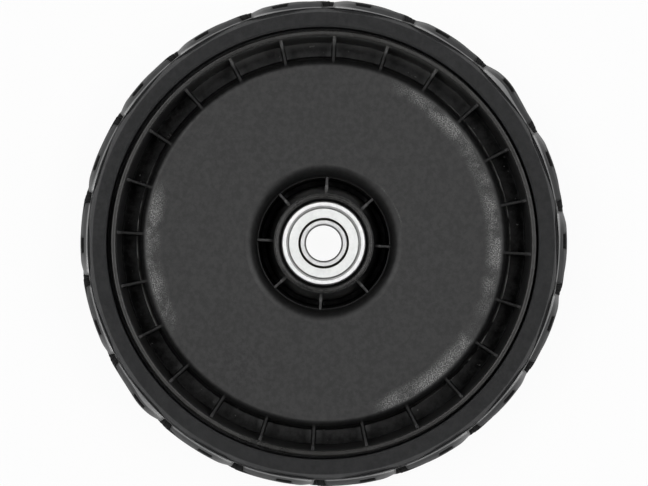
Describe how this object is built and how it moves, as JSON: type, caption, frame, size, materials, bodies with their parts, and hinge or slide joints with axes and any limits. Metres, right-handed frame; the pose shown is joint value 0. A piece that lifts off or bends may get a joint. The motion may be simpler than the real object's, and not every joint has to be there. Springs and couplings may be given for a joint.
{
  "type": "lawn mower wheel",
  "caption": "Black moulded mower wheel with a ribbed inboard face, a solid rubber tyre with staggered wedge lugs, and shielded ball bearings pressed into both ends of its hub.",
  "frame": {"origin": "wheel centre: on the axle axis, midway between the tyre's two sidewalls", "axes": "+Z along the axle, out of the ribbed inboard face that the picture shows; the wheel lies on its outboard sidewall; +X runs along one rib of each ring of ribs"},
  "size_m": [0.2032, 0.2032, 0.0446],
  "materials": {
    "rim_plastic": "black moulded plastic with a fine spark grain",
    "tyre_rubber": "dark grey moulded rubber, satin",
    "ring_steel": "ground bearing steel",
    "shield_steel": "pressed plated sheet steel",
    "ball_steel": "polished bearing steel",
    "cage_steel": "pressed sheet steel"
  },
  "bodies": {
    "wheel": {"rim": "rim_plastic", "tyre": "tyre_rubber", "inboard_outer_ring": "ring_steel", "inboard_upper_shield": "shield_steel", "inboard_lower_shield": "shield_steel", "outboard_outer_ring": "ring_steel", "outboard_upper_shield": "shield_steel", "outboard_lower_shield": "shield_steel"},
    "inboard_axle_ring": {"inboard_inner_ring": "ring_steel"},
    "inboard_ball_set": {"inboard_cage_upper": "cage_steel", "inboard_cage_lower": "cage_steel", "inboard_cage_rivets": "cage_steel", "inboard_ball_1": "ball_steel", "inboard_ball_2": "ball_steel", "inboard_ball_3": "ball_steel", "inboard_ball_4": "ball_steel", "inboard_ball_5": "ball_steel", "inboard_ball_6": "ball_steel", "inboard_ball_7": "ball_steel", "inboard_ball_8": "ball_steel"},
    "outboard_axle_ring": {"outboard_inner_ring": "ring_steel"},
    "outboard_ball_set": {"outboard_cage_upper": "cage_steel", "outboard_cage_lower": "cage_steel", "outboard_cage_rivets": "cage_steel", "outboard_ball_1": "ball_steel", "outboard_ball_2": "ball_steel", "outboard_ball_3": "ball_steel", "outboard_ball_4": "ball_steel", "outboard_ball_5": "ball_steel", "outboard_ball_6": "ball_steel", "outboard_ball_7": "ball_steel", "outboard_ball_8": "ball_steel"}
  },
  "joints": [
    {"name": "inboard_axle_ring_spin", "type": "hinge", "parent": "wheel", "child": "inboard_axle_ring", "pos_m": [0, 0, 0.013], "axis": [0, 0, 1], "continuous": true},
    {"name": "inboard_ball_set_spin", "type": "hinge", "parent": "wheel", "child": "inboard_ball_set", "pos_m": [0, 0, 0.013], "axis": [0, 0, 1], "continuous": true},
    {"name": "outboard_axle_ring_spin", "type": "hinge", "parent": "wheel", "child": "outboard_axle_ring", "pos_m": [0, 0, -0.013], "axis": [0, 0, 1], "continuous": true},
    {"name": "outboard_ball_set_spin", "type": "hinge", "parent": "wheel", "child": "outboard_ball_set", "pos_m": [0, 0, -0.013], "axis": [0, 0, 1], "continuous": true}
  ],
  "couplings": [
    {"joint": "inboard_ball_set_spin", "follows": "inboard_axle_ring_spin", "ratio": 0.38094},
    {"joint": "outboard_ball_set_spin", "follows": "outboard_axle_ring_spin", "ratio": 0.38094}
  ]
}
